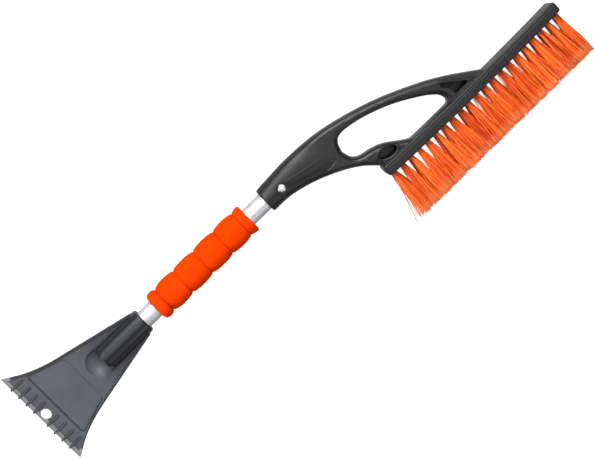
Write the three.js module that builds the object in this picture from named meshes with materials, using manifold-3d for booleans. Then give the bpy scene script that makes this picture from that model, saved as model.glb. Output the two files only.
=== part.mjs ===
// Snow brush with an ice scraper: a metal tube with a foam grip joins a tufted brush head to a plastic blade.
// Millimetres. +X runs along the tube from the blade to the brush, the bristles point to -Y, and +Z is up
// when the brush lies on its side. The origin is the middle of the underside of the whole object.

import * as THREE from 'three';
import { mergeVertices } from 'three/addons/utils/BufferGeometryUtils.js';
import Module from 'manifold-3d';

const wasm = await Module();
wasm.setup();

// ---------------------------------------------------------------- driving dimensions

const GAP = 0.3; // clearance between pieces that touch

const TUBE_R = 9; // outer radius of the handle tube
const TUBE_WALL = 1.5;
const TUBE_SHOWN = 156.5; // tube between the two socket mouths

const SOCKET_WALL = 3.4; // plastic round the tube, in both mouldings
const SCRAPER_SEAT = 45; // how far the tube goes into the scraper
const HEAD_SEAT = 58; // how far the tube goes into the brush head

const SCRAPER_LENGTH = 135; // blade edge to socket mouth
const BLADE_WIDTH = 105;
const BLADE_DROP = 15.5; // blade edge below the tube's axis
const PLATE_THICKNESS = 5.5;
const PLATE_TILT = 6.5; // degrees, the plate rises from the blade to the socket
const NECK_WIDTH = 26.8; // plate width where it runs into the socket
const NECK_SETBACK = 4; // from the socket mouth to that place
const SIDE_RIM_WIDTH = 2;
const SIDE_RIM_HEIGHT = 0.8;
const BEVEL_WIDTH = 4.6; // sloping strip along the blade edge
const BEVEL_STEP = 1.3; // small wall at the back of that strip
const EDGE_THICKNESS = 0.9;
const TOOTH_COUNT = 8; // ice-breaking ribs over the blade edge
const TOOTH_PITCH = 9.8;
const TOOTH_WIDTH = 1.9;
const TOOTH_LENGTH = 15;
const TOOTH_HEIGHT = 0.9;
const HANG_HOLE_R = 5.4;
const HANG_HOLE_X = 7.7;
const PANEL_START = 19.5; // recessed plain panel on the plate
const PANEL_LENGTH = 38;
const PANEL_MARGIN = 3.8;
const PANEL_DEPTH = 1;
const SOCKET_SHOWN = 50; // length of the scraper's round socket above the plate
const SCOOP_RIM_R = 13.5; // hollow in front of that socket
const SCOOP_BALL_R = 17;

const GRIP_R = 15.4;
const GRIP_GROOVE_DEPTH = 1.7;
const GRIP_LENGTH = 119.7;
const GRIP_SETBACK = 15.4; // bare tube between the scraper and the grip

const ARM_REACH = 229; // head's socket mouth to where the upper arm lands on the bar
const FOOT_REACH = 99; // head's socket mouth to the bar's near end
const BAR_DROP = 53; // tube axis to the back of the bar
const BAR_LENGTH = 219.5;
const BAR_THICKNESS = 11;
const BAR_DEPTH = 31;
const BAR_BOW = 1.6; // the bar bulges towards the bristles by this much
const BAR_CORNER = 3;
const BAR_EDGE = 1.4;
const ARM_ROUND_OUT = 4.2; // rounding of the handle's long edges, across and through
const ARM_ROUND_THROUGH = 8;
const POCKET_FLOOR = 3; // plastic left behind the two blind pockets

const TUFTS_PER_ROW = 21;
const TUFT_ROWS = ['front', 'back'];
const ROW_SPACING = 11;
const TUFT_MARGIN = 5.6; // bar end to the centre of the outermost tuft
const TUFT_HOLE_R = 3.2;
const TUFT_HOLE_DEPTH = 6.5;
const TUFT_LENGTH = 48.6; // bar face to the bristle tips
const TUFT_ROOT_R = 2.6;
const TUFT_TIP_GAP = 1; // left between neighbouring tufts at their tips
const TUFT_SIDES = 8;

const SCREW_HEAD_R = 4;
const SCREW_HEAD_HEIGHT = 2.2;
const SCREW_SHANK_R = 1.75;
const SCREW_LENGTH = 8; // below its head
const SCREW_RECESS_R = 5.4;
const SCREW_CROSS_WIDTH = 1.2;
const SCREW_CROSS_DEPTH = 1.2;
const HEAD_SCREW_SETBACK = 19.5; // from the head's mouth
const HEAD_SCREW_SIDE = -1.2;
const SCRAPER_SCREW_SETBACK = 25; // from the scraper's mouth

// ---------------------------------------------------------------- sizes that follow

const BORE_R = TUBE_R + GAP;
const SOCKET_R = BORE_R + SOCKET_WALL;
const SCRAPER_MOUTH = SCRAPER_LENGTH;
const HEAD_MOUTH = SCRAPER_MOUTH + TUBE_SHOWN;
const TUBE_START = SCRAPER_MOUTH - SCRAPER_SEAT;
const TUBE_END = HEAD_MOUTH + HEAD_SEAT;
const SCREW_SEAT = BORE_R + 1.6; // height of the screw's seat above the tube's axis

const ARM_HALF = BORE_R + SOCKET_WALL - 0.2;
const BAR_START = HEAD_MOUTH + FOOT_REACH;
const BAR_END = BAR_START + BAR_LENGTH;
const BAR_BACK = -BAR_DROP;
const BAR_FACE = BAR_BACK - BAR_THICKNESS;
const TUFT_PITCH = (BAR_LENGTH - 2 * TUFT_MARGIN) / (TUFTS_PER_ROW - 1);
const TUFT_TIP_R = (Math.min(TUFT_PITCH, ROW_SPACING) - TUFT_TIP_GAP) / 2;

const TILT = THREE.MathUtils.degToRad(PLATE_TILT);
const NECK_X = SCRAPER_LENGTH - NECK_SETBACK;
const SOCKET_START = SCRAPER_MOUTH - SOCKET_SHOWN;

const ROUND_STEPS = 40; // sides of the round sockets and the tube
const GRIP_STEPS = 28; // sides of the soft grip
const FAR = 400; // longer than any cut needs

// ---------------------------------------------------------------- solids and cuts

function toSolid(geometry) {
  const bare = geometry.index ? geometry.toNonIndexed() : geometry.clone();
  bare.deleteAttribute('normal');
  bare.deleteAttribute('uv');
  const merged = mergeVertices(bare, 1e-4);
  const vertProperties = new Float32Array(merged.attributes.position.array);
  const triVerts = new Uint32Array(merged.index.array);
  return new wasm.Manifold(new wasm.Mesh({ numProp: 3, vertProperties, triVerts }));
}

function toGeometry(solid) {
  const mesh = solid.getMesh();
  const geometry = new THREE.BufferGeometry();
  geometry.setAttribute('position', new THREE.BufferAttribute(mesh.vertProperties, 3));
  geometry.setIndex(new THREE.BufferAttribute(mesh.triVerts, 1));
  geometry.computeVertexNormals();
  return geometry;
}

function joined(solids) {
  return solids.reduce((whole, solid) => whole.add(solid));
}

// A profile of [along, radius] points turned about the X axis. It starts and ends on the axis or closes.
function turned(profile, steps = ROUND_STEPS) {
  const points = profile.map(([along, radius]) => new THREE.Vector2(radius, along));
  return new THREE.LatheGeometry(points, steps).rotateZ(-Math.PI / 2);
}

// A plain round bar on the X axis.
function rod(start, end, radius, steps = ROUND_STEPS) {
  return turned([[start, 0], [start, radius], [end, radius], [end, 0]], steps);
}

// A plain round bar parallel to the Z axis.
function post(x, y, low, high, radius, steps = 24) {
  const geometry = new THREE.CylinderGeometry(radius, radius, high - low, steps);
  return geometry.rotateX(Math.PI / 2).translate(x, y, (low + high) / 2);
}

// The points of a closed outline, none of them twice, running the way asked for.
function ring(points, clockwise) {
  const once = points.filter((p, i) => p.distanceTo(points[(i + 1) % points.length]) > 1e-3);
  return THREE.ShapeUtils.isClockWise(once) === clockwise ? once : once.reverse();
}

// The same outline as straight steps, with its holes running the other way round.
function stepped(shape, steps) {
  const { shape: outer, holes } = shape.extractPoints(steps);
  const plain = new THREE.Shape(ring(outer, false));
  plain.holes = holes.map((points) => new THREE.Path(ring(points, true)));
  return plain;
}

function slab(shape, low, high, steps = 6) {
  const settings = { depth: high - low, bevelEnabled: false };
  return new THREE.ExtrudeGeometry(stepped(shape, steps), settings).translate(0, 0, low);
}

// A plate of the given half thickness whose edges are rounded: the outline is its widest section.
function roundedSlab(shape, half, across, through, steps, edgeSteps) {
  const settings = {
    depth: 2 * (half - through),
    bevelEnabled: true,
    bevelSegments: edgeSteps,
    bevelSize: across,
    bevelOffset: -across,
    bevelThickness: through,
  };
  return new THREE.ExtrudeGeometry(stepped(shape, steps), settings).translate(0, 0, through - half);
}

function block(x, y, z) {
  const size = [x[1] - x[0], y[1] - y[0], z[1] - z[0]];
  const centre = [(x[0] + x[1]) / 2, (y[0] + y[1]) / 2, (z[0] + z[1]) / 2];
  return new THREE.BoxGeometry(...size).translate(...centre);
}

// A polygon whose corners are rounded, each corner given as [x, y, radius].
function roundedPolygon(corners) {
  const shape = new THREE.Shape();
  const count = corners.length;
  corners.forEach(([x, y, radius], i) => {
    const here = new THREE.Vector2(x, y);
    const before = new THREE.Vector2(...corners[(i + count - 1) % count].slice(0, 2)).sub(here).normalize();
    const after = new THREE.Vector2(...corners[(i + 1) % count].slice(0, 2)).sub(here).normalize();
    const halfAngle = Math.acos(before.dot(after)) / 2;
    const reach = radius / Math.tan(halfAngle);
    const start = here.clone().addScaledVector(before, reach);
    const end = here.clone().addScaledVector(after, reach);
    if (i === 0) shape.moveTo(start.x, start.y);
    else shape.lineTo(start.x, start.y);
    shape.quadraticCurveTo(here.x, here.y, end.x, end.y);
  });
  shape.closePath();
  return shape;
}

// ---------------------------------------------------------------- materials

function plastic(name, color, roughness) {
  return new THREE.MeshStandardMaterial({ name, color, roughness, metalness: 0 });
}

function metal(name, color, roughness) {
  return new THREE.MeshStandardMaterial({ name, color, roughness, metalness: 1 });
}

// ---------------------------------------------------------------- scraper head

// Outline of the scraper plate, drawn flat with the blade edge on x = 0. The sides run straight from the neck,
// curve outwards and run straight again to the blade's tips. inset moves both sides inwards.
function scraperOutline(inset, start) {
  const tip = BLADE_WIDTH / 2 - inset;
  const neck = NECK_WIDTH / 2 - inset;
  const flareSlope = 0.6;
  const taperSlope = 0.215;
  const bend = (tip - neck - taperSlope * NECK_X) / (flareSlope - taperSlope);
  const bendY = tip - flareSlope * bend;
  const curveReach = 0.6 * bend;
  const frontY = tip - flareSlope * (bend - curveReach);
  const backY = bendY - taperSlope * 1.5 * curveReach;
  const shape = new THREE.Shape();
  shape.moveTo(NECK_X, -neck);
  shape.lineTo(NECK_X, neck);
  shape.lineTo(bend + 1.5 * curveReach, backY);
  shape.quadraticCurveTo(bend, bendY, bend - curveReach, frontY);
  shape.lineTo(0.6, tip - 0.6 * flareSlope);
  shape.quadraticCurveTo(0, tip, start, tip - 2.2);
  shape.lineTo(start, 2.2 - tip);
  shape.quadraticCurveTo(0, -tip, 0.6, 0.6 * flareSlope - tip);
  shape.lineTo(bend - curveReach, -frontY);
  shape.quadraticCurveTo(bend, -bendY, bend + 1.5 * curveReach, -backY);
  shape.closePath();
  return shape;
}

// Half width of the plate a given way back from the blade edge, for what lines up with its sides.
function halfWidthAt(x) {
  const points = scraperOutline(0, 0).getPoints(12).filter((p) => p.y > 0);
  const sorted = points.sort((a, b) => a.x - b.x);
  const next = sorted.findIndex((p) => p.x >= x);
  const low = sorted[next - 1];
  const high = sorted[next];
  return THREE.MathUtils.mapLinear(x, low.x, high.x, low.y, high.y);
}

// The ribs stand in two groups of four, one group each side of the hanging hole.
function toothPlaces() {
  const half = TOOTH_COUNT / 2;
  const places = [];
  for (let i = 0; i < TOOTH_COUNT; i += 1) {
    const side = i < half ? -1 : 1;
    const step = i < half ? half - i : i - half + 1;
    places.push(side * (step * TOOTH_PITCH - 1));
  }
  return places;
}

function tooth(y) {
  const r = TOOTH_WIDTH / 2;
  const shape = new THREE.Shape();
  shape.moveTo(r, y - r);
  shape.lineTo(TOOTH_LENGTH - r, y - r);
  shape.absarc(TOOTH_LENGTH - r, y, r, -Math.PI / 2, Math.PI / 2);
  shape.lineTo(r, y + r);
  shape.absarc(r, y, r, Math.PI / 2, 1.5 * Math.PI);
  return slab(shape, EDGE_THICKNESS / 2, PLATE_THICKNESS + TOOTH_HEIGHT, 5);
}

// The plate lies flat here, its underside on z = 0.
function scraperPlate() {
  const top = PLATE_THICKNESS;
  const rimTop = top + SIDE_RIM_HEIGHT;
  const body = toSolid(slab(scraperOutline(0, 0), 0, rimTop, 8));
  const floor = scraperOutline(SIDE_RIM_WIDTH, -5);
  const trough = toSolid(slab(floor, top, rimTop + 1, 8));

  const bevel = new THREE.Shape();
  bevel.moveTo(-1, EDGE_THICKNESS - 0.5);
  bevel.lineTo(0, EDGE_THICKNESS);
  bevel.lineTo(BEVEL_WIDTH, top - BEVEL_STEP);
  bevel.lineTo(BEVEL_WIDTH, rimTop + 1);
  bevel.lineTo(-1, rimTop + 1);
  const bevelCut = slab(bevel, -BLADE_WIDTH, BLADE_WIDTH).rotateX(Math.PI / 2);

  const panelEnd = PANEL_START + PANEL_LENGTH;
  const panelFront = halfWidthAt(PANEL_START) - PANEL_MARGIN;
  const panelBack = halfWidthAt(panelEnd) - PANEL_MARGIN;
  const panel = roundedPolygon([
    [PANEL_START, -panelFront, 4],
    [panelEnd, -panelBack, 3],
    [panelEnd, panelBack, 3],
    [PANEL_START, panelFront, 4],
  ]);
  const panelCut = slab(panel, top - PANEL_DEPTH, rimTop + 1, 4);
  const hole = post(HANG_HOLE_X, 0, -1, rimTop + 1, HANG_HOLE_R, 28);

  let plate = body.subtract(trough).subtract(toSolid(bevelCut)).subtract(toSolid(panelCut));
  plate = joined([plate, ...toothPlaces().map((y) => toSolid(tooth(y)))]);
  return plate.subtract(toSolid(hole));
}

function scraperHead() {
  const degrees = 180 / Math.PI;
  const plate = scraperPlate().rotate([0, -TILT * degrees, 0]).translate([0, 0, -BLADE_DROP]);
  const plateTop = (x) => x * Math.tan(TILT) + PLATE_THICKNESS / Math.cos(TILT) - BLADE_DROP;

  const scoopX = SOCKET_START - 9;
  const noseR = SOCKET_R;
  const mouthRound = 1.2;
  const socket = turned([
    [scoopX - noseR, 0],
    ...[0.25, 0.5, 0.75].map((t) => [
      scoopX - noseR * Math.cos(t * Math.PI / 2),
      noseR * Math.sin(t * Math.PI / 2),
    ]),
    [scoopX, noseR],
    [SCRAPER_MOUTH - mouthRound, SOCKET_R],
    [SCRAPER_MOUTH, SOCKET_R - mouthRound],
    [SCRAPER_MOUTH, 0],
  ]);

  const rimLevel = plateTop(scoopX);
  const ballHeight = Math.sqrt(SCOOP_BALL_R ** 2 - SCOOP_RIM_R ** 2);
  const ball = new THREE.SphereGeometry(SCOOP_BALL_R, 40, 24).rotateX(Math.PI / 2);
  const scoop = toSolid(ball.translate(scoopX, 0, rimLevel + ballHeight));
  const ahead = toSolid(block([-FAR, SOCKET_START], [-FAR, FAR], [-FAR, FAR]));
  const over = toSolid(block([scoopX - FAR, SOCKET_START], [-noseR - 1, noseR + 1], [rimLevel, FAR]));
  const clearOver = over.subtract(toSolid(block([-FAR, scoopX - noseR - 6], [-FAR, FAR], [-FAR, FAR])));
  const endBoss = toSolid(rod(SOCKET_START - 3, SOCKET_START + 1, SOCKET_R - 3));

  const noseTrim = toSolid(socket).subtract(clearOver);
  const bore = toSolid(rod(TUBE_START - GAP, SCRAPER_MOUTH + 1, BORE_R));
  const screwX = SCRAPER_MOUTH - SCRAPER_SCREW_SETBACK;
  const recess = toSolid(post(screwX, 0, -FAR / 10, -SCREW_SEAT, SCREW_RECESS_R));
  const pilot = toSolid(post(screwX, 0, -FAR / 10, 0, SCREW_SHANK_R + GAP));

  return joined([plate, noseTrim])
    .subtract(scoop.intersect(ahead))
    .add(endBoss)
    .subtract(bore)
    .subtract(recess)
    .subtract(pilot);
}

// ---------------------------------------------------------------- brush head

// A point of the handle's outline: a share of the arm's reach from the mouth, and of the bar's drop.
function onArm(along, down) {
  return new THREE.Vector2(HEAD_MOUTH + along * ARM_REACH, -down * BAR_DROP);
}

// The outline runs past the mouth and past the bar, where the head trims it.
function armOutline() {
  const past = HEAD_MOUTH - 2 * ARM_ROUND_OUT;
  const below = BAR_BACK - 5 * ARM_ROUND_OUT;
  const landing = onArm(1, 1);
  const shape = new THREE.Shape();
  shape.moveTo(past, SOCKET_R);
  shape.lineTo(HEAD_MOUTH, SOCKET_R);
  shape.splineThru([
    onArm(0.06, -0.256),
    onArm(0.17, -0.275),
    onArm(0.3, -0.247),
    onArm(0.43, -0.147),
    onArm(0.579, 0.038),
    onArm(0.718, 0.279),
    onArm(0.858, 0.588),
    landing,
  ]);
  shape.lineTo(landing.x + 1.44 * (BAR_BACK - below), below);
  shape.lineTo(BAR_START + 2, below);
  shape.lineTo(BAR_START + 0.3, BAR_BACK + 2);
  shape.splineThru([
    onArm(0.378, 0.742),
    onArm(0.3, 0.54),
    onArm(0.194, 0.353),
    onArm(0.09, 0.249),
    new THREE.Vector2(HEAD_MOUTH, -SOCKET_R),
  ]);
  shape.lineTo(past, -SOCKET_R);
  shape.closePath();
  shape.holes.push(fingerHole());
  return shape;
}

// The finger hole reaches down to the back of the bar.
function fingerHole() {
  const hole = new THREE.Path();
  const heel = onArm(0.362, 0.32);
  hole.moveTo(heel.x, heel.y);
  hole.splineThru([
    onArm(0.376, 0.15),
    onArm(0.404, 0.075),
    onArm(0.456, 0.085),
    onArm(0.544, 0.176),
    onArm(0.648, 0.353),
    onArm(0.753, 0.612),
    onArm(0.8, 0.775),
  ]);
  const corner = onArm(0.822, 0.86);
  const floorEnd = onArm(0.8, 1);
  hole.quadraticCurveTo(corner.x + 2, BAR_BACK + 2, floorEnd.x, BAR_BACK);
  const floorStart = onArm(0.605, 1);
  hole.lineTo(floorStart.x, BAR_BACK);
  hole.splineThru([
    onArm(0.575, 0.93),
    onArm(0.509, 0.729),
    onArm(0.456, 0.638),
    onArm(0.404, 0.586),
    onArm(0.376, 0.5),
    heel,
  ]);
  return hole;
}

function barOutline() {
  const low = BAR_FACE;
  const middle = (BAR_START + BAR_END) / 2;
  const shape = new THREE.Shape();
  shape.moveTo(BAR_START, BAR_BACK - BAR_CORNER);
  shape.lineTo(BAR_START, low + BAR_CORNER);
  shape.quadraticCurveTo(BAR_START, low, BAR_START + BAR_CORNER, low);
  shape.quadraticCurveTo(middle, low - 2 * BAR_BOW, BAR_END - BAR_CORNER, low);
  shape.quadraticCurveTo(BAR_END, low, BAR_END, low + BAR_CORNER);
  shape.lineTo(BAR_END, BAR_BACK - BAR_CORNER);
  shape.quadraticCurveTo(BAR_END, BAR_BACK, BAR_END - BAR_CORNER, BAR_BACK);
  shape.quadraticCurveTo(middle, BAR_BACK - 2 * BAR_BOW, BAR_START + BAR_CORNER, BAR_BACK);
  shape.quadraticCurveTo(BAR_START, BAR_BACK, BAR_START, BAR_BACK - BAR_CORNER);
  return shape;
}

// How far the bowed bar's face hangs below its ends at a given place along it.
function bowAt(x) {
  const t = (x - BAR_START) / BAR_LENGTH;
  return 4 * BAR_BOW * t * (1 - t);
}

function tuftX(index) {
  return BAR_START + TUFT_MARGIN + index * TUFT_PITCH;
}

function rowZ(row) {
  return (row === 'front' ? 1 : -1) * ROW_SPACING / 2;
}

function tuftHole(x, z) {
  const face = BAR_FACE - bowAt(x);
  const length = TUFT_HOLE_DEPTH + 3;
  const hole = new THREE.CylinderGeometry(TUFT_HOLE_R, TUFT_HOLE_R, length, TUFT_SIDES);
  return hole.translate(x, face + TUFT_HOLE_DEPTH - length / 2, z);
}

// The two blind pockets beside the finger hole, open on the upper side: an oval one and a three-cornered one.
function pockets() {
  const middle = onArm(0.493, 0.866);
  const oval = new THREE.Shape();
  oval.absellipse(middle.x, middle.y, 9.8, 5, 0, 2 * Math.PI, false, -0.2);
  const top = onArm(0.831, 0.63);
  const low = BAR_BACK + 1.2;
  const wedge = roundedPolygon([
    [top.x, top.y, 1.1],
    [top.x - 0.8, top.y - 4.4, 1.2],
    [top.x + 4.5, top.y - 10.5, 3],
    [top.x + 5, low, 1],
    [top.x + 24, low, 2.2],
  ]);
  const floor = POCKET_FLOOR - ARM_HALF;
  return [slab(oval, floor, ARM_HALF + 1, 14), slab(wedge, floor, ARM_HALF + 1, 4)];
}

function brushHead() {
  const arm = toSolid(roundedSlab(armOutline(), ARM_HALF, ARM_ROUND_OUT, ARM_ROUND_THROUGH, 5, 3));
  const roundStart = turned([
    [HEAD_MOUTH, 0],
    [HEAD_MOUTH, SOCKET_R - 1.2],
    [HEAD_MOUTH + 1.2, SOCKET_R],
    [HEAD_MOUTH + 15, SOCKET_R + 1.5],
    [HEAD_MOUTH + 40, SOCKET_R + 6.5],
    [HEAD_MOUTH + 60, FAR / 2],
    [HEAD_MOUTH + FAR, FAR / 2],
    [HEAD_MOUTH + FAR, 0],
  ]);
  const bar = toSolid(roundedSlab(barOutline(), BAR_DEPTH / 2, BAR_EDGE, BAR_EDGE, 8, 2));
  const bore = toSolid(rod(HEAD_MOUTH - 1, TUBE_END + GAP, BORE_R));
  const screwX = HEAD_MOUTH + HEAD_SCREW_SETBACK;
  const recess = toSolid(post(screwX, HEAD_SCREW_SIDE, SCREW_SEAT, FAR / 10, SCREW_RECESS_R));
  const pilot = toSolid(post(screwX, HEAD_SCREW_SIDE, 0, FAR / 10, SCREW_SHANK_R + GAP));

  const aboveFace = toSolid(block([0, 2 * FAR], [BAR_FACE + 3, FAR], [-FAR, FAR]));

  let head = arm.intersect(toSolid(roundStart)).intersect(aboveFace).add(bar);
  head = head.subtract(bore).subtract(recess).subtract(pilot);
  const cuts = pockets().map(toSolid);
  for (const row of TUFT_ROWS) {
    for (let i = 0; i < TUFTS_PER_ROW; i += 1) cuts.push(toSolid(tuftHole(tuftX(i), rowZ(row))));
  }
  return head.subtract(joined(cuts));
}

function tuft(x, z) {
  const face = BAR_FACE - bowAt(x);
  const root = face + TUFT_HOLE_DEPTH - GAP;
  const tip = BAR_FACE - TUFT_LENGTH;
  const body = new THREE.CylinderGeometry(TUFT_ROOT_R, TUFT_TIP_R, root - tip, TUFT_SIDES);
  return body.translate(x, (root + tip) / 2, z);
}

// ---------------------------------------------------------------- tube, grip and screws

function handleTube() {
  const inner = TUBE_R - TUBE_WALL;
  const tube = toSolid(turned([
    [TUBE_START, TUBE_R],
    [TUBE_END, TUBE_R],
    [TUBE_END, inner],
    [TUBE_START, inner],
    [TUBE_START, TUBE_R],
  ]));
  const drill = SCREW_SHANK_R + GAP;
  const scraperHole = toSolid(post(SCRAPER_MOUTH - SCRAPER_SCREW_SETBACK, 0, -2 * TUBE_R, 0, drill, 16));
  const headHole = toSolid(post(HEAD_MOUTH + HEAD_SCREW_SETBACK, HEAD_SCREW_SIDE, 0, 2 * TUBE_R, drill, 16));
  return tube.subtract(scraperHole).subtract(headHole);
}

// The grip's swells: an end collar, four finger swells and the other end collar, parted by grooves.
function foamGrip() {
  const start = SCRAPER_MOUTH + GRIP_SETBACK;
  const end = start + GRIP_LENGTH;
  const inner = TUBE_R + GAP;
  const grooves = [0.09, 0.29, 0.5, 0.725, 0.925].map((share) => start + share * GRIP_LENGTH);
  const profile = [[start, inner], [start, GRIP_R - 3], [start + 1.5, GRIP_R - 0.9], [start + 4, GRIP_R]];
  grooves.forEach((groove, i) => {
    const next = i + 1 < grooves.length ? grooves[i + 1] : null;
    profile.push([groove - 3, GRIP_R - 0.6], [groove, GRIP_R - GRIP_GROOVE_DEPTH], [groove + 3, GRIP_R - 0.6]);
    if (next) profile.push([(groove + next) / 2, GRIP_R]);
  });
  profile.push([end - 3, GRIP_R - 0.2], [end - 1, GRIP_R - 1.2], [end, GRIP_R - 3], [end, inner], [start, inner]);
  return turned(profile, GRIP_STEPS);
}

// A pan-head screw standing along +Z with its seat on z = 0.
function screw() {
  const body = toSolid(new THREE.LatheGeometry([
    [0, -SCREW_LENGTH],
    [0.6, -SCREW_LENGTH + 0.2],
    [SCREW_SHANK_R, -SCREW_LENGTH + 2.2],
    [SCREW_SHANK_R, 0],
    [SCREW_HEAD_R, 0],
    [SCREW_HEAD_R, SCREW_HEAD_HEIGHT * 0.5],
    [SCREW_HEAD_R * 0.8, SCREW_HEAD_HEIGHT * 0.88],
    [SCREW_HEAD_R * 0.4, SCREW_HEAD_HEIGHT],
    [0, SCREW_HEAD_HEIGHT],
  ].map(([r, z]) => new THREE.Vector2(r, z)), 28).rotateX(Math.PI / 2));
  const reach = SCREW_HEAD_R * 0.62;
  const half = SCREW_CROSS_WIDTH / 2;
  const depth = [SCREW_HEAD_HEIGHT - SCREW_CROSS_DEPTH, SCREW_HEAD_HEIGHT + 1];
  const slots = joined([
    toSolid(block([-reach, reach], [-half, half], depth)),
    toSolid(block([-half, half], [-reach, reach], depth)),
  ]);
  return body.subtract(slots);
}

// ---------------------------------------------------------------- assembly

const headPlastic = plastic('head_plastic', 0x3a3a3d, 0.45);
const scraperPlastic = plastic('scraper_plastic', 0x5f6267, 0.5);
const foam = plastic('foam', 0xff4b10, 0.95);
const bristle = plastic('bristle', 0xff6420, 0.6);
const aluminium = metal('aluminium', 0xcfd2d4, 0.35);
const steel = metal('steel', 0xb8babd, 0.3);

const brush = new THREE.Group();

function place(name, geometry, material, position = [0, 0, 0]) {
  const mesh = new THREE.Mesh(geometry, material.clone());
  mesh.name = name;
  mesh.position.set(...position);
  brush.add(mesh);
  return mesh;
}

place('scraper_head', toGeometry(scraperHead()), scraperPlastic);
place('handle_tube', toGeometry(handleTube()), aluminium);
place('foam_grip', foamGrip(), foam);
place('brush_head', toGeometry(brushHead()), headPlastic);

const screwLift = SCREW_SEAT + GAP;
const headScrewX = HEAD_MOUTH + HEAD_SCREW_SETBACK;
const scraperScrewX = SCRAPER_MOUTH - SCRAPER_SCREW_SETBACK;
const screwShape = toGeometry(screw());
place('head_screw', screwShape, steel, [headScrewX, HEAD_SCREW_SIDE, screwLift]).rotation.z = 0.4;
place('scraper_screw', screwShape.clone(), steel, [scraperScrewX, 0, -screwLift]).rotation.x = Math.PI;

for (const row of TUFT_ROWS) {
  for (let i = 0; i < TUFTS_PER_ROW; i += 1) {
    const number = String(i + 1).padStart(2, '0');
    place(`tuft_${row}_${number}`, tuft(tuftX(i), rowZ(row)), bristle);
  }
}

// The whole object stands with the middle of its underside on the origin.
const box = new THREE.Box3().setFromObject(brush, true);
const middle = box.getCenter(new THREE.Vector3());
brush.position.set(-middle.x, -middle.y, -box.min.z);

const model = new THREE.Group();
model.add(brush);

export default model;
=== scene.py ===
"""Snow brush with an ice scraper: its mouldings, grip, tube, screws and bristles, made round the frame."""

import math

import bmesh
import bpy
import numpy as np
from bpy.props import FloatProperty, FloatVectorProperty, IntProperty, PointerProperty
from mathutils import Matrix, Vector, noise


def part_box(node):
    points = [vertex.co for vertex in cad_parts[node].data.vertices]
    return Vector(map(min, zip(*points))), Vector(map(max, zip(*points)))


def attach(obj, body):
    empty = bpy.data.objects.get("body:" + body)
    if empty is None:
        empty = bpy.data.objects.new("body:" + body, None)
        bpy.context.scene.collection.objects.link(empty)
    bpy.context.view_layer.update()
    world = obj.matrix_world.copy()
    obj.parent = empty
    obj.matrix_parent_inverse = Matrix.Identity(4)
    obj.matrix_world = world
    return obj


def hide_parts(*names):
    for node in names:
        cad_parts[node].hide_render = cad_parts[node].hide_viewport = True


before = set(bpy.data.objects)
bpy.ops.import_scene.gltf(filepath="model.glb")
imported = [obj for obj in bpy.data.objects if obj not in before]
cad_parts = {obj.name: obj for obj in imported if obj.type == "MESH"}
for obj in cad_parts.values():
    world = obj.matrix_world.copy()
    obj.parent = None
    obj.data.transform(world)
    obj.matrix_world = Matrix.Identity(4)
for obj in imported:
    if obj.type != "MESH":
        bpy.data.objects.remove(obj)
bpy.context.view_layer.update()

bl_info = {
    "name": "Snow Brush",
    "version": (1, 0, 0),
    "blender": (4, 5, 0),
    "location": "View3D > Sidebar > Snow Brush",
    "description": "Builds the finished look of a snow brush with an ice scraper round its fixed frame",
    "category": "Object",
}

MM = 0.001
ROOT = "root"

# ---------------------------------------------------------------- places taken from the frame

TUBE_LOW, TUBE_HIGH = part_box("handle_tube")
AXIS_Y = (TUBE_LOW.y + TUBE_HIGH.y) / 2
AXIS_Z = (TUBE_LOW.z + TUBE_HIGH.z) / 2
SCRAPER_LOW, SCRAPER_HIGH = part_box("scraper_head")
HEAD_LOW, HEAD_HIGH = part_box("brush_head")
GRIP_LOW, GRIP_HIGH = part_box("foam_grip")
TUFT_NAMES = sorted(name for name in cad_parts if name.startswith("tuft_"))

# The blade edge, on the tube's axis and at its middle height: where the places below are counted from
SCRAPER_LENGTH = 135
ORIGIN = np.array([SCRAPER_HIGH.x - SCRAPER_LENGTH * MM, AXIS_Y, AXIS_Z])

# ---------------------------------------------------------------- sizes of the mouldings, in millimetres

HALF_DEPTH = 15.5  # from the middle height down to the surface the brush lies on
PLATE_TILT = math.radians(6.5)
PLATE_TOP_AT_EDGE = 5.54
SOCKET_RADIUS = 12.7
SCOOP_PLACE = 76
SCOOP_RADIUS = 17
SCOOP_RIM = 13.5
PANEL_FRONT = 19.5
PANEL_BACK = 57.5
PANEL_INSET = 3.8
PANEL_CORNER = 3.0
RIB_SPACING = 9.8
HANG_HOLE = 7.7
HEAD_MOUTH = 291
SCREW_ALONG = 311
SCREW_ACROSS = -1.2
HANDLE_HALF_DEPTH = 12.5
BAR_START = 390.5
BAR_LENGTH = 219.5
BAR_BACK = -53
BAR_BOW = 1.6
OVAL_CENTRE = (404.4, -45.9)
OVAL_HALVES = (9.8, 5)
OVAL_TURN = -0.2


def at(along, across=0.0, up=0.0):
    """A place in millimetres from the origin above, as a place in the frame."""
    return Vector(ORIGIN) + Vector((along, across, up)) * MM


# ---------------------------------------------------------------- what a user may change


class SnowBrushSizes(bpy.types.PropertyGroup):
    """Sizes of the surface detail."""

    filament_width: FloatProperty(
        name="Filament width", description="Diameter of one bristle filament", default=0.56 * MM, unit="LENGTH"
    )
    filaments: IntProperty(name="Filaments", description="Filaments in one tuft", default=100, min=8)
    pore: FloatProperty(
        name="Foam pore", description="Size of the foam's surface pores", default=0.55 * MM, unit="LENGTH"
    )


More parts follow.
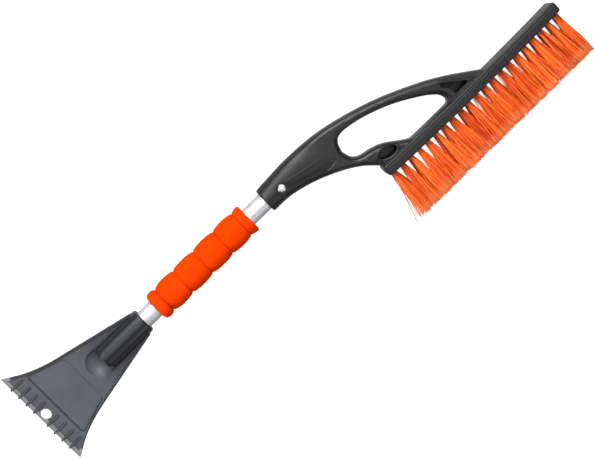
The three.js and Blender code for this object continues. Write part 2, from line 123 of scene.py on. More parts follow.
class SnowBrushColours(bpy.types.PropertyGroup):
    """Colours of the pieces."""

    head: FloatVectorProperty(
        name="Brush head", description="Charcoal plastic", default=(0.0058, 0.005, 0.005), subtype="COLOR"
    )
    scraper: FloatVectorProperty(
        name="Scraper", description="Slate-grey plastic", default=(0.056, 0.062, 0.073), subtype="COLOR"
    )
    foam: FloatVectorProperty(
        name="Grip foam", description="Orange foam", default=(0.75, 0.042, 0.0012), subtype="COLOR"
    )
    bristle: FloatVectorProperty(
        name="Bristles", description="Orange filaments", default=(0.8, 0.065, 0.004), subtype="COLOR"
    )
    tube: FloatVectorProperty(
        name="Tube", description="Satin aluminium", default=(0.62, 0.63, 0.65), subtype="COLOR"
    )


class SnowBrushSettings(bpy.types.PropertyGroup):
    """All settings of the snow brush."""

    sizes: PointerProperty(type=SnowBrushSizes, name="Sizes", description="Sizes of the surface detail")
    colours: PointerProperty(type=SnowBrushColours, name="Colours", description="Colours of the pieces")


# ---------------------------------------------------------------- materials


class Finish:
    """A material under construction: short calls that add and join shader nodes."""

    def __init__(self, name):
        self.material = bpy.data.materials.new(name)
        self.material.use_nodes = True
        self.tree = self.material.node_tree
        self.surface = self.tree.nodes["Principled BSDF"]
        self.place = self.add("ShaderNodeTexCoord").outputs["Object"]

    def add(self, kind, **settings):
        node = self.tree.nodes.new(kind)
        for key, value in settings.items():
            setattr(node, key, value)
        return node

    def join(self, source, target):
        self.tree.links.new(source, target)

    def set(self, **sockets):
        """Sets sockets of the surface shader by name, with _ for a space."""
        for key, value in sockets.items():
            self.surface.inputs[key.replace("_", " ")].default_value = value
        return self

    def stretched(self, scale):
        node = self.add("ShaderNodeMapping")
        node.inputs["Scale"].default_value = scale
        self.join(self.place, node.inputs["Vector"])
        return node.outputs["Vector"]

    def noise(self, scale, detail=4.0, roughness=0.55, vector=None):
        node = self.add("ShaderNodeTexNoise")
        node.inputs["Scale"].default_value = scale
        node.inputs["Detail"].default_value = detail
        node.inputs["Roughness"].default_value = roughness
        self.join(vector or self.place, node.inputs["Vector"])
        return node.outputs["Fac"]

    def cells(self, scale, vector=None):
        node = self.add("ShaderNodeTexVoronoi", feature="F1")
        node.inputs["Scale"].default_value = scale
        self.join(vector or self.place, node.inputs["Vector"])
        return node.outputs["Distance"]

    def ramp(self, source, stops):
        """stops: [(position, colour or grey), ...]"""
        node = self.add("ShaderNodeValToRGB")
        elements = node.color_ramp.elements
        while len(elements) < len(stops):
            elements.new(0.5)
        for element, (position, value) in zip(elements, stops):
            element.position = position
            element.color = (*value[:3], 1) if hasattr(value, "__len__") else (value, value, value, 1)
        self.join(source, node.inputs["Fac"])
        return node.outputs["Color"]

    def span(self, source, low, high, to_low=0.0, to_high=1.0):
        node = self.add("ShaderNodeMapRange", clamp=True, interpolation_type="SMOOTHSTEP")
        values = (low, high, to_low, to_high)
        for key, value in zip(("From Min", "From Max", "To Min", "To Max"), values):
            node.inputs[key].default_value = value
        self.join(source, node.inputs["Value"])
        return node.outputs["Result"]

    def maths(self, operation, a, b):
        node = self.add("ShaderNodeMath", operation=operation)
        for socket, value in zip(node.inputs, (a, b)):
            if hasattr(value, "is_output"):
                self.join(value, socket)
            else:
                socket.default_value = value
        return node.outputs["Value"]

    def mix(self, factor, a, b, blend="MIX"):
        node = self.add("ShaderNodeMix", data_type="RGBA", blend_type=blend)
        for socket, value in zip((node.inputs["Factor"], node.inputs["A"], node.inputs["B"]), (factor, a, b)):
            if hasattr(value, "is_output"):
                self.join(value, socket)
            elif hasattr(value, "__len__"):
                socket.default_value = (*value[:3], 1)
            else:
                socket.default_value = value
        return [s for s in node.outputs if s.type == "RGBA"][0]

    def attribute(self, name):
        return self.add("ShaderNodeAttribute", attribute_name=name).outputs["Fac"]

    def bump(self, height, strength, distance, after=None):
        node = self.add("ShaderNodeBump")
        node.inputs["Strength"].default_value = strength
        node.inputs["Distance"].default_value = distance
        self.join(height, node.inputs["Height"])
        if after is not None:
            self.join(after, node.inputs["Normal"])
        return node.outputs["Normal"]

    def colour_from(self, socket):
        self.join(socket, self.surface.inputs["Base Color"])

    def roughness_from(self, socket):
        self.join(socket, self.surface.inputs["Roughness"])

    def normal_from(self, socket):
        self.join(socket, self.surface.inputs["Normal"])


def shade(colour, factor):
    return tuple(min(1.0, c * factor) for c in colour)


def moulded_plastic(name, colour, gloss, grain_depth=0.16):
    """Satin injection-moulded plastic: a fine spark-eroded grain, faint flow clouds and handling marks."""
    f = Finish(name)
    clouds = f.noise(26, 5)
    tint = f.ramp(clouds, [(0.3, shade(colour, 0.86)), (0.7, shade(colour, 1.16))])
    # Painted shade: the colour is darkened towards near black where the paint steps mark grooves, pocket walls,
    # creases and shaded edges.
    painted_shade = f.attribute("painted_shade")
    tint = f.mix(painted_shade, tint, shade(colour, 0.12))
    marks = f.noise(70, 8, 0.7, f.stretched((1, 4, 1)))
    sheen = f.span(marks, 0.35, 0.7, gloss - 0.05, gloss + 0.09)
    grain = f.bump(f.noise(2600, 2), grain_depth, 0.0002)
    f.normal_from(f.bump(f.noise(120, 3), 0.05, 0.002, grain))
    return f, tint, sheen


def scraper_plastic(colour):
    """Slate plastic, polished black on its socket, with painted shade along its rims and in its grooves, and a
    pale painted highlight along the blade edge.
    """
    f, tint, sheen = moulded_plastic("slate_plastic", colour, 0.5, 0.1)
    polish = f.attribute("polish")
    # Painted shade: the plate's colour darkens towards the tube end, away from the socket.
    tint = f.mix(f.attribute("painted_shade_toward_tube"), tint, shade(colour, 0.25))
    tint = f.mix(polish, tint, shade(colour, 0.16))
    f.roughness_from(f.mix(polish, sheen, (0.3, 0.3, 0.3)))
    # Painted highlight: the blade's bevel strip and the plate's front tips are made pale, broken into streaks,
    # for the light the bevel reflects.
    highlight_streaks = f.noise(240, 6, 0.7, f.stretched((1, 0.3, 1)))
    painted_bevel_highlight = f.maths("MULTIPLY", f.attribute("painted_bevel_highlight"), f.span(highlight_streaks, 0.2, 0.6, 0.75, 1.0))
    f.colour_from(f.mix(painted_bevel_highlight, tint, (0.19, 0.19, 0.2)))
    f.set(Specular_IOR_Level=0.4)
    return f.material


def head_plastic(colour):
    """Charcoal plastic, sandy with pale specks, and of one even roughness on the bar."""
    f, tint, sheen = moulded_plastic("charcoal_plastic", colour, 0.4, 0.24)
    specks = f.span(f.noise(1500, 2, 0.6), 0.6, 0.72, 0.0, 0.6)
    f.colour_from(f.mix(specks, tint, shade(colour, 2.6)))
    f.roughness_from(f.mix(f.attribute("bar"), sheen, (0.5, 0.5, 0.5)))
    f.set(Specular_IOR_Level=0.33)
    return f.material


def aluminium_finish(colour):
    """Drawn tube: fine lines along it and a soft satin."""
    f = Finish("satin_aluminium")
    lines = f.noise(900, 3, 0.6, f.stretched((0.02, 1, 1)))
    f.colour_from(f.ramp(lines, [(0.3, shade(colour, 0.9)), (0.7, shade(colour, 1.06))]))
    f.roughness_from(f.span(lines, 0.3, 0.7, 0.5, 0.62))
    f.normal_from(f.bump(lines, 0.08, 0.0002))
    f.set(Metallic=1.0)
    return f.material


def steel_finish():
    """Zinc-plated screw."""
    f = Finish("zinc_steel")
    clouds = f.noise(400, 4)
    f.colour_from(f.ramp(clouds, [(0.3, (0.5, 0.5, 0.5)), (0.7, (0.68, 0.68, 0.66))]))
    f.roughness_from(f.span(clouds, 0.3, 0.7, 0.25, 0.4))
    f.normal_from(f.bump(f.noise(1500, 3), 0.1, 0.0001))
    f.set(Metallic=1.0)
    return f.material


def foam_finish(colour, pore):
    """Soft closed-cell foam: fine pores and slightly uneven colour."""
    f = Finish("orange_foam")
    clouds = f.noise(60, 5)
    base = f.ramp(clouds, [(0.3, shade(colour, 0.9)), (0.7, shade(colour, 1.1))])
    base = f.mix(f.span(f.noise(1000, 3, 0.7), 0.42, 0.68, 0.0, 0.42), base, shade(colour, 0.55))
    pores = f.cells(1 / pore)
    # Painted shade inside each pore.
    base = f.mix(f.span(pores, 0.0, 0.4, 0.6, 0.0), base, shade(colour, 0.5))
    # Painted shade in the grip's creases.
    f.colour_from(f.mix(f.maths("MULTIPLY", f.attribute("painted_shade"), 0.6), base, shade(colour, 0.45)))
    small = f.bump(pores, 0.35, 0.0003)
    f.normal_from(f.bump(f.noise(1400, 3), 0.3, 0.0003, small))
    f.set(Roughness=0.9, Specular_IOR_Level=0.0)
    return f.material


def bristle_finish(colour):
    """Polymer filaments: each with its own painted light and shade, from dark red to an orange highlight, paler
    and duller where the ends are split.
    """
    f = Finish("orange_bristle")
    # Painted light and shade: each filament's value turns its colour from dark shade through to a pale orange
    # highlight.
    own = f.ramp(f.attribute("painted_light_and_shade"), [(0.1, shade(colour, 0.3)), (0.4, colour), (0.85, (1.0, 0.25, 0.035))])
    pale = f.span(f.attribute("along"), 0.72, 1.0, 0.0, 0.45)
    f.colour_from(f.mix(pale, own, (1.0, 0.36, 0.14)))
    f.roughness_from(f.span(f.attribute("along"), 0.6, 1.0, 0.38, 0.7))
    f.normal_from(f.bump(f.noise(1200, 2, 0.5, f.stretched((1, 0.1, 1))), 0.1, 0.0001))
    f.set(Specular_IOR_Level=0.3)
    return f.material


# ---------------------------------------------------------------- mesh helpers


def settings():
    return bpy.context.scene.snow_brush


def new_piece(name, vertices, faces, material):
    mesh = bpy.data.meshes.new(name)
    mesh.from_pydata(vertices, [], faces)
    mesh.update()
    for polygon in mesh.polygons:
        polygon.use_smooth = True
    piece = bpy.data.objects.new(name, mesh)
    bpy.context.scene.collection.objects.link(piece)
    piece.data.materials.append(material)
    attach(piece, ROOT)
    return piece


def evaluated_mesh(piece):
    depsgraph = bpy.context.evaluated_depsgraph_get()
    return bpy.data.meshes.new_from_object(piece.evaluated_get(depsgraph))


def moulded_copy(node, name, depth, rounds, material, sculpt=None, paint=None, keep=1.0):
    """A fine copy of a CAD moulding, its edges softened as a mould leaves them, in place of the node.

    sculpt moves the fine copy's points, paint gives its points named values for the material, and keep is
    the share of its faces that is left where it is plain.
    """
    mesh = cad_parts[node].data.copy()
    piece = bpy.data.objects.new(name, mesh)
    bpy.context.scene.collection.objects.link(piece)
    remesh = piece.modifiers.new("fine", "REMESH")
    remesh.mode = "SHARP"
    remesh.octree_depth = depth
    remesh.scale = 0.95
    remesh.use_remove_disconnected = False
    soft = piece.modifiers.new("soft", "SMOOTH")
    soft.factor = 0.5
    soft.iterations = rounds
    piece.data = evaluated_mesh(piece)
    piece.modifiers.clear()
    if sculpt:
        points, normals = mesh_points(piece.data)
        sculpt(points, normals)
        piece.data.vertices.foreach_set("co", (points * MM + ORIGIN).ravel())
        piece.data.update()
    if keep < 1:
        thin = piece.modifiers.new("thin", "DECIMATE")
        thin.ratio = keep
        piece.data = evaluated_mesh(piece)
        piece.modifiers.clear()
    done = piece.data
    done.name = name
    done.polygons.foreach_set("use_smooth", [True] * len(done.polygons))
    done.materials.clear()
    done.materials.append(material)
    if paint:
        for key, values in paint(*mesh_points(done)).items():
            attribute = done.attributes.new(key, "FLOAT", "POINT")
            attribute.data.foreach_set("value", values.astype(np.float32))
    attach(piece, ROOT)
    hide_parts(node)
    return piece


def mesh_points(mesh):
    """A mesh's points in millimetres from the blade edge, the axis and its height, and their normals."""
    points = np.empty(len(mesh.vertices) * 3)
    mesh.vertices.foreach_get("co", points)
    normals = np.empty(len(mesh.vertices) * 3, np.float32)
    mesh.vertex_normals.foreach_get("vector", normals)
    return (points.reshape(-1, 3) - ORIGIN) / MM, normals.reshape(-1, 3)


def path_distance(points, corners):
    """Distance in plan from each point to a path of straight stretches."""
    best = np.full(len(points), 1e9)
    for (ax, ay), (bx, by) in zip(corners, corners[1:]):
        run = np.array([bx - ax, by - ay])
        offset = points[:, :2] - (ax, ay)
        share = np.clip(offset @ run / (run @ run), 0, 1)
        best = np.minimum(best, np.linalg.norm(offset - share[:, None] * run, axis=1))
    return best


def hump(distance, width):
    return np.exp(-((distance / width) ** 2))


def step_up(value, low, high):
    t = np.clip((value - low) / (high - low), 0, 1)
    return t * t * (3 - 2 * t)


def lathe(profile, steps):
    """Turns a closed profile of (x, radius) points about the tube's axis."""
    turns = [2 * math.pi * k / steps for k in range(steps)]
    vertices = [(x, AXIS_Y + r * math.cos(a), AXIS_Z + r * math.sin(a)) for x, r in profile for a in turns]
    rings = len(profile)
    faces = []
    for ring in range(rings):
        here, there = ring * steps, (ring + 1) % rings * steps
        for k in range(steps):
            n = (k + 1) % steps
            faces.append((here + k, there + k, there + n, here + n))
    return vertices, faces


# ---------------------------------------------------------------- operators


class SNOWBRUSH_OT_stage(bpy.types.Operator):
    """Pale floor, soft light and the camera above the brush"""

    bl_idname = "snow_brush.stage"
    bl_label = "Stage"

    def execute(self, context):
        scene = context.scene
        floor_mesh = bpy.data.meshes.new("floor")
        half = 5.0
        corners = [(-half, -half, 0), (half, -half, 0), (half, half, 0), (-half, half, 0)]
        floor_mesh.from_pydata(corners, [], [(0, 1, 2, 3)])
        floor = bpy.data.objects.new("floor", floor_mesh)
        scene.collection.objects.link(floor)
        pale = Finish("pale_floor")
        pale.set(Base_Color=(0.3, 0.3, 0.3, 1), Roughness=0.9, Specular_IOR_Level=0.1)
        pale.set(Emission_Color=(1, 1, 1, 1), Emission_Strength=0.92)
        floor_mesh.materials.append(pale.material)
        floor.visible_diffuse = False
        floor.visible_glossy = False

        self.studio(scene)
        self.lamp(scene, "key", (0.3, 1.0, 1.05), 1.25, 36)
        self.lamp(scene, "top", (0.1, 0.3, 1.9), 1.4, 13)
        self.lamp(scene, "fill", (0.1, -1.1, 0.9), 1.0, 5)
        self.lamp(scene, "blade_side", (-1.5, 0.3, 0.55), 0.8, 14)
        self.camera(scene)
        scene.view_settings.view_transform = "Standard"
        return {"FINISHED"}

    def studio(self, scene):
        """A dim room whose ground is pale, more so on the key light's side."""
        world = bpy.data.worlds.new("studio")
        world.use_nodes = True
        nodes, links = world.node_tree.nodes, world.node_tree.links
        direction = nodes.new("ShaderNodeTexCoord").outputs["Generated"]
        axes = nodes.new("ShaderNodeSeparateXYZ")
        links.new(direction, axes.inputs["Vector"])
        shares = []
        for axis, low, high, darkest in (("Z", 0.15, -0.25, 0.0), ("Y", -0.4, 0.4, 0.35)):
            share = nodes.new("ShaderNodeMapRange")
            share.interpolation_type = "SMOOTHSTEP"
            for key, value in zip(("From Min", "From Max", "To Min", "To Max"), (low, high, darkest, 1.0)):
                share.inputs[key].default_value = value
            links.new(axes.outputs[axis], share.inputs["Value"])
            shares.append(share.outputs["Result"])
        ground = nodes.new("ShaderNodeMath")
        ground.operation = "MULTIPLY"
        links.new(shares[0], ground.inputs[0])
        links.new(shares[1], ground.inputs[1])
        strength = nodes.new("ShaderNodeMath")
        strength.operation = "MULTIPLY_ADD"
        links.new(ground.outputs["Value"], strength.inputs[0])
        strength.inputs[1].default_value = 0.75
        strength.inputs[2].default_value = 0.16
        background = nodes["Background"].inputs
        background["Color"].default_value = (1.0, 0.99, 0.98, 1)
        links.new(strength.outputs["Value"], background["Strength"])
        scene.world = world

    def lamp(self, scene, name, place, size, power):
        data = bpy.data.lights.new(name, "AREA")
        data.shape = "DISK"
        data.size = size
        data.energy = power
        lamp = bpy.data.objects.new(name, data)
        lamp.location = place
        lamp.rotation_euler = Vector(place).to_track_quat("Z", "Y").to_euler()
        scene.collection.objects.link(lamp)

    def camera(self, scene):
        distance = 1.8
        lean = math.radians(7.5)
        turn = math.radians(44.44)
        field_width = 0.5513
        aim = Vector((-10.6 * MM, -10.0 * MM, AXIS_Z))
        back = Vector((0, math.sin(lean), math.cos(lean)))
        along = Vector((1, 0, 0))
        across = Vector((0, math.cos(lean), -math.sin(lean)))
        right = math.cos(turn) * along - math.sin(turn) * across
        up = math.sin(turn) * along + math.cos(turn) * across
        data = bpy.data.cameras.new("camera")
        data.sensor_width = 36.0
        data.lens = data.sensor_width * distance / field_width
        data.clip_end = 50
        camera = bpy.data.objects.new("camera", data)
        axes = Matrix((right, up, back)).transposed()
        camera.matrix_world = Matrix.Translation(aim + distance * back) @ axes.to_4x4()
        scene.collection.objects.link(camera)
        scene.camera = camera


class SNOWBRUSH_OT_scraper(bpy.types.Operator):
    """Scraper moulding with a painted highlight on its blade edge, sunk panel and glossy socket"""

    bl_idname = "snow_brush.scraper"
    bl_label = "Scraper"

    def execute(self, context):
        plastic = scraper_plastic(settings().colours.scraper)
        moulded_copy(
            "scraper_head", "scraper_moulding", 9, 3, plastic, self.sculpt, self.paint, 0.4
        )
        return {"FINISHED"}

    def plate_top(self, along):
        return along * math.tan(PLATE_TILT) + PLATE_TOP_AT_EDGE - HALF_DEPTH

    def half_width(self, along):
        """The plate's half width: straight at the tips and the neck, with a curve between."""
        t = np.linspace(0, 1, 40)
        x = (1 - t) ** 2 * 11.4 + 2 * t * (1 - t) * 28.4 + t**2 * 54
        y = (1 - t) ** 2 * 45.7 + 2 * t * (1 - t) * 35.5 + t**2 * 30
        return np.interp(along, np.r_[0, x, 131], np.r_[52.5, y, 13.4])

    def panel_walls(self, points):
        """Signed distance to the sunk panel's wall, and how much each of its four sides counts."""
        front = self.half_width(PANEL_FRONT) - PANEL_INSET
        back = self.half_width(PANEL_BACK) - PANEL_INSET
        slope = (front - back) / (PANEL_BACK - PANEL_FRONT)
        lean = math.hypot(1, slope)
        corner = PANEL_CORNER
        side = (front - slope * (points[:, 0] - PANEL_FRONT)) / lean
        over = np.stack(
            [
                PANEL_FRONT - points[:, 0],
                points[:, 0] - PANEL_BACK,
                points[:, 1] / lean - side,
                -points[:, 1] / lean - side,
            ]
        )
        outside = np.maximum(over + corner, 0)
        total = np.sqrt((outside**2).sum(0))
        distance = np.where(total > 0, total - corner, over.max(0))
        share = outside**2 / np.maximum((outside**2).sum(0), 1e-9)
        return distance, share

    def on_top(self, points, normals):
        near = np.abs(points[:, 2] - self.plate_top(points[:, 0])) < 2.2
        return near & (normals[:, 2] > 0.3) & (points[:, 0] > 3)

    def panel_line(self, points, offset, width):
        distance, share = self.panel_walls(points)
        weight = np.array([1.0, 0.4, 0.12, 0.75]) @ share
        return hump(distance + offset, width) * weight

    def rounded(self, points):
        """Puts the socket's points on its true cylinder and the scoop's on its true ball."""
        radial = np.hypot(points[:, 1], points[:, 2])
        socket = (np.abs(radial - SOCKET_RADIUS) < 0.16) & (points[:, 0] > 60)
        socket = socket & (points[:, 0] < SCRAPER_LENGTH - 1.3)
        points[socket, 1:] *= (SOCKET_RADIUS / radial[socket])[:, None]
        rim = self.plate_top(SCOOP_PLACE)
        centre = np.array([SCOOP_PLACE, 0, rim + math.sqrt(SCOOP_RADIUS**2 - SCOOP_RIM**2)])
        offset = points - centre
        reach = np.linalg.norm(offset, axis=1)
        scoop = (np.abs(reach - SCOOP_RADIUS) < 0.25) & (points[:, 2] < rim - 0.4) & (points[:, 0] < 85)
        points[scoop] = centre + offset[scoop] * (SCOOP_RADIUS / reach[scoop])[:, None]

    def sculpt(self, points, normals):
        self.rounded(points)
        top = self.on_top(points, normals)
        lower_side = -points[:, 1] / self.half_width(points[:, 0])
        line = self.panel_line(points, 0.35, 0.4)
        points[:, 2] -= 0.7 * line * top
        # A second fine line runs inside the rim, on the lower side of the plate
        inset = self.half_width(points[:, 0]) - np.abs(points[:, 1])
        along_panel = step_up(points[:, 0], 20, 25) * (1 - step_up(points[:, 0], 100, 118))
        points[:, 2] -= 0.35 * hump(inset - 2.6, 0.35) * along_panel * top * (lower_side > 0)

    def paint(self, points, normals):
        along, across, up = points.T
        inset = self.half_width(along) - np.abs(across)
        radial = np.hypot(across, up)
        above = up - self.plate_top(along)
        on_plate = np.abs(above) < 1.6
        top = self.on_top(points, normals)
        tooth = np.zeros(len(points))
        tooth_edge = np.zeros(len(points))
        for group in (-1, 1):
            for step in range(1, 5):
                place = group * (step * RIB_SPACING - 1)
                gap = path_distance(points, [(0.6, place), (14, place)])
                tooth = np.maximum(tooth, gap < 1.15)
                tooth_edge = np.maximum(tooth_edge, hump(gap - 1.2, 0.3))
        # Painted highlight: the bevel strip along the blade edge and the plate's front tips, which the material
        # makes pale.
        strip = step_up(4.9 - along, 0, 0.5) * (1 - tooth) * (normals[:, 2] > -0.2)
        tips = (np.abs(across) > 45.5) & (along < 7.5) & (inset < 3.2) & (normals[:, 2] > -0.2)
        painted_bevel_highlight = np.maximum(strip, tips)
        # Painted shade: dark lines along the sunk panel's wall, the bevel's inner step and the teeth's outlines.
        painted_shade = self.panel_line(points, 0.3, 0.42) * top
        painted_shade = np.maximum(painted_shade, hump(along - 5.2, 0.35) * top * (1 - tooth))
        painted_shade = np.maximum(painted_shade, tooth_edge * (above > -4) * (normals[:, 2] > 0))
        socket = (along > 77) & (above > 0.4) & (radial < 13.2)
        # Painted shade along the plate's outer rim and on the hang hole's wall.
        side = step_up(2.1 - inset, 0, 0.5) * (along > 7) * (along < 131) * (normals[:, 2] > -0.6)
        hole = (np.hypot(along - HANG_HOLE, across) < 5.7) & (normals[:, 2] < 0.5) & (above < -0.5)
        painted_shade = np.maximum(painted_shade, np.maximum(side, hole))
        # The teeth tops are darkened a little.
        painted_shade = np.maximum(painted_shade, tooth * (above > -3.5) * 0.25)
        polish = socket.astype(float)
        # Painted shade where the socket meets the plate.
        foot = on_plate & (along > 80) & (along < 134)
        painted_shade = np.maximum(painted_shade, hump(np.abs(across) - 13.0, 1.0) * foot * 0.8)
        # Painted shade on the plate, growing towards the tube end.
        painted_shade_toward_tube = step_up(along, 52, 128) * step_up(radial - 12, 0, 2)
        return {"painted_bevel_highlight": painted_bevel_highlight, "painted_shade": painted_shade, "polish": polish, "painted_shade_toward_tube": painted_shade_toward_tube}


class SNOWBRUSH_OT_tube(bpy.types.Operator):
    """Satin aluminium handle tube"""

    bl_idname = "snow_brush.tube"
    bl_label = "Tube"

    def execute(self, context):
        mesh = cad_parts["handle_tube"].data.copy()
        mesh.name = "tube_drawn"
        shape = bmesh.new()
        shape.from_mesh(mesh)
        bmesh.ops.remove_doubles(shape, verts=shape.verts, dist=0.001 * MM)
        shape.to_mesh(mesh)
        shape.free()
        mesh.materials.clear()
        mesh.materials.append(aluminium_finish(settings().colours.tube))
        mesh.polygons.foreach_set("use_smooth", [True] * len(mesh.polygons))
        mesh.set_sharp_from_angle(angle=math.radians(35))
        piece = bpy.data.objects.new("tube_drawn", mesh)
        context.scene.collection.objects.link(piece)
        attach(piece, ROOT)
        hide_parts("handle_tube")
        return {"FINISHED"}


class SNOWBRUSH_OT_grip(bpy.types.Operator):
    """Soft foam grip with finger swells, creased between them"""

    bl_idname = "snow_brush.grip"
    bl_label = "Foam grip"

    # Each crease as a share of the length, and how deep it is in millimetres
    creases = [(0.092, 2.4), (0.293, 1.6), (0.507, 1.6), (0.724, 1.5), (0.925, 1.8)]

    def execute(self, context):
        chosen = settings()
        foam = foam_finish(chosen.colours.foam, chosen.sizes.pore)
        profile = self.profile()
        steps = 160
        vertices, faces = lathe(profile, steps)
        noise.seed_set(7)
        for k, (x, y, z) in enumerate(vertices):
            place = Vector((x, y, z))
            outward = Vector((0, y - AXIS_Y, z - AXIS_Z))
            if outward.length > self.bore() + 1 * MM:
                swell = noise.noise(place * 180) * 0.10 + noise.noise(place * 900) * 0.05
                vertices[k] = place + outward.normalized() * swell * MM
        grip = new_piece("grip_foam", vertices, faces, foam)
        along = np.array([v[0] for v in vertices])
        # Painted shade: points near each crease get values by which the foam's colour is darkened.
        painted_shade = np.zeros(len(along))
        for share, _ in self.creases:
            past = (along - GRIP_LOW.x - share * (GRIP_HIGH.x - GRIP_LOW.x)) / MM
            painted_shade = np.maximum(painted_shade, hump(past, 0.55))
        attribute = grip.data.attributes.new("painted_shade", "FLOAT", "POINT")
        attribute.data.foreach_set("value", painted_shade.astype(np.float32))
        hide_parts("foam_grip")
        return {"FINISHED"}

    def bore(self):
        return (TUBE_HIGH.y - TUBE_LOW.y) / 2 + 0.3 * MM

    def profile(self):
        """Points (x, radius) from the bore at the left end, over the outside, and back to the bore."""
        start, end = GRIP_LOW.x, GRIP_HIGH.x
        full = (GRIP_HIGH.y - GRIP_LOW.y) / 2
        length = end - start
        creases = self.creases
        points = [(start + 0.8 * MM, self.bore())]
        # The left collar is a round bulge
        bulge = creases[0][0] * length
        for k in range(1, 15):
            turn = math.pi * k / 15
            x = start + bulge * (1 - math.cos(turn)) / 2
            points.append((x, full - 6.2 * MM + 5.8 * MM * math.sin(turn) ** 0.55))
        # Finger swells between the creases
        for (a, deep_a), (b, deep_b) in zip(creases, creases[1:]):
            for k in range(40):
                t = (1 - math.cos(math.pi * k / 40)) / 2
                floor = full - (deep_a * (1 - t) + deep_b * t) * MM
                arch = 1 - abs(2 * t - 1) ** 2.3
                from_crease = min(t, 1 - t) * (b - a) * length / MM
                notch = 0.7 * math.exp(-((from_crease / 0.9) ** 2)) * MM
                points.append((start + (a + (b - a) * t) * length, floor + (full - floor) * arch - notch))
        # The right collar flares to a blunt end
        share, deep = creases[-1]
        flare = (1 - share) * length
        for k in range(12):
            t = k / 11
            rise = deep - (deep - 0.3) * math.sin(t * math.pi / 2)
            points.append((start + share * length + (flare - 1.6 * MM) * t, full - rise * MM))
        for k in range(1, 7):
            turn = math.pi / 2 * k / 6
            corner = 1.6 * MM
            x = end - corner + corner * math.sin(turn)
            points.append((x, full - 0.3 * MM - corner * (1 - math.cos(turn))))
        points.append((end - 0.2 * MM, self.bore() + 1.5 * MM))
        points.append((end - 0.6 * MM, self.bore()))
        return points


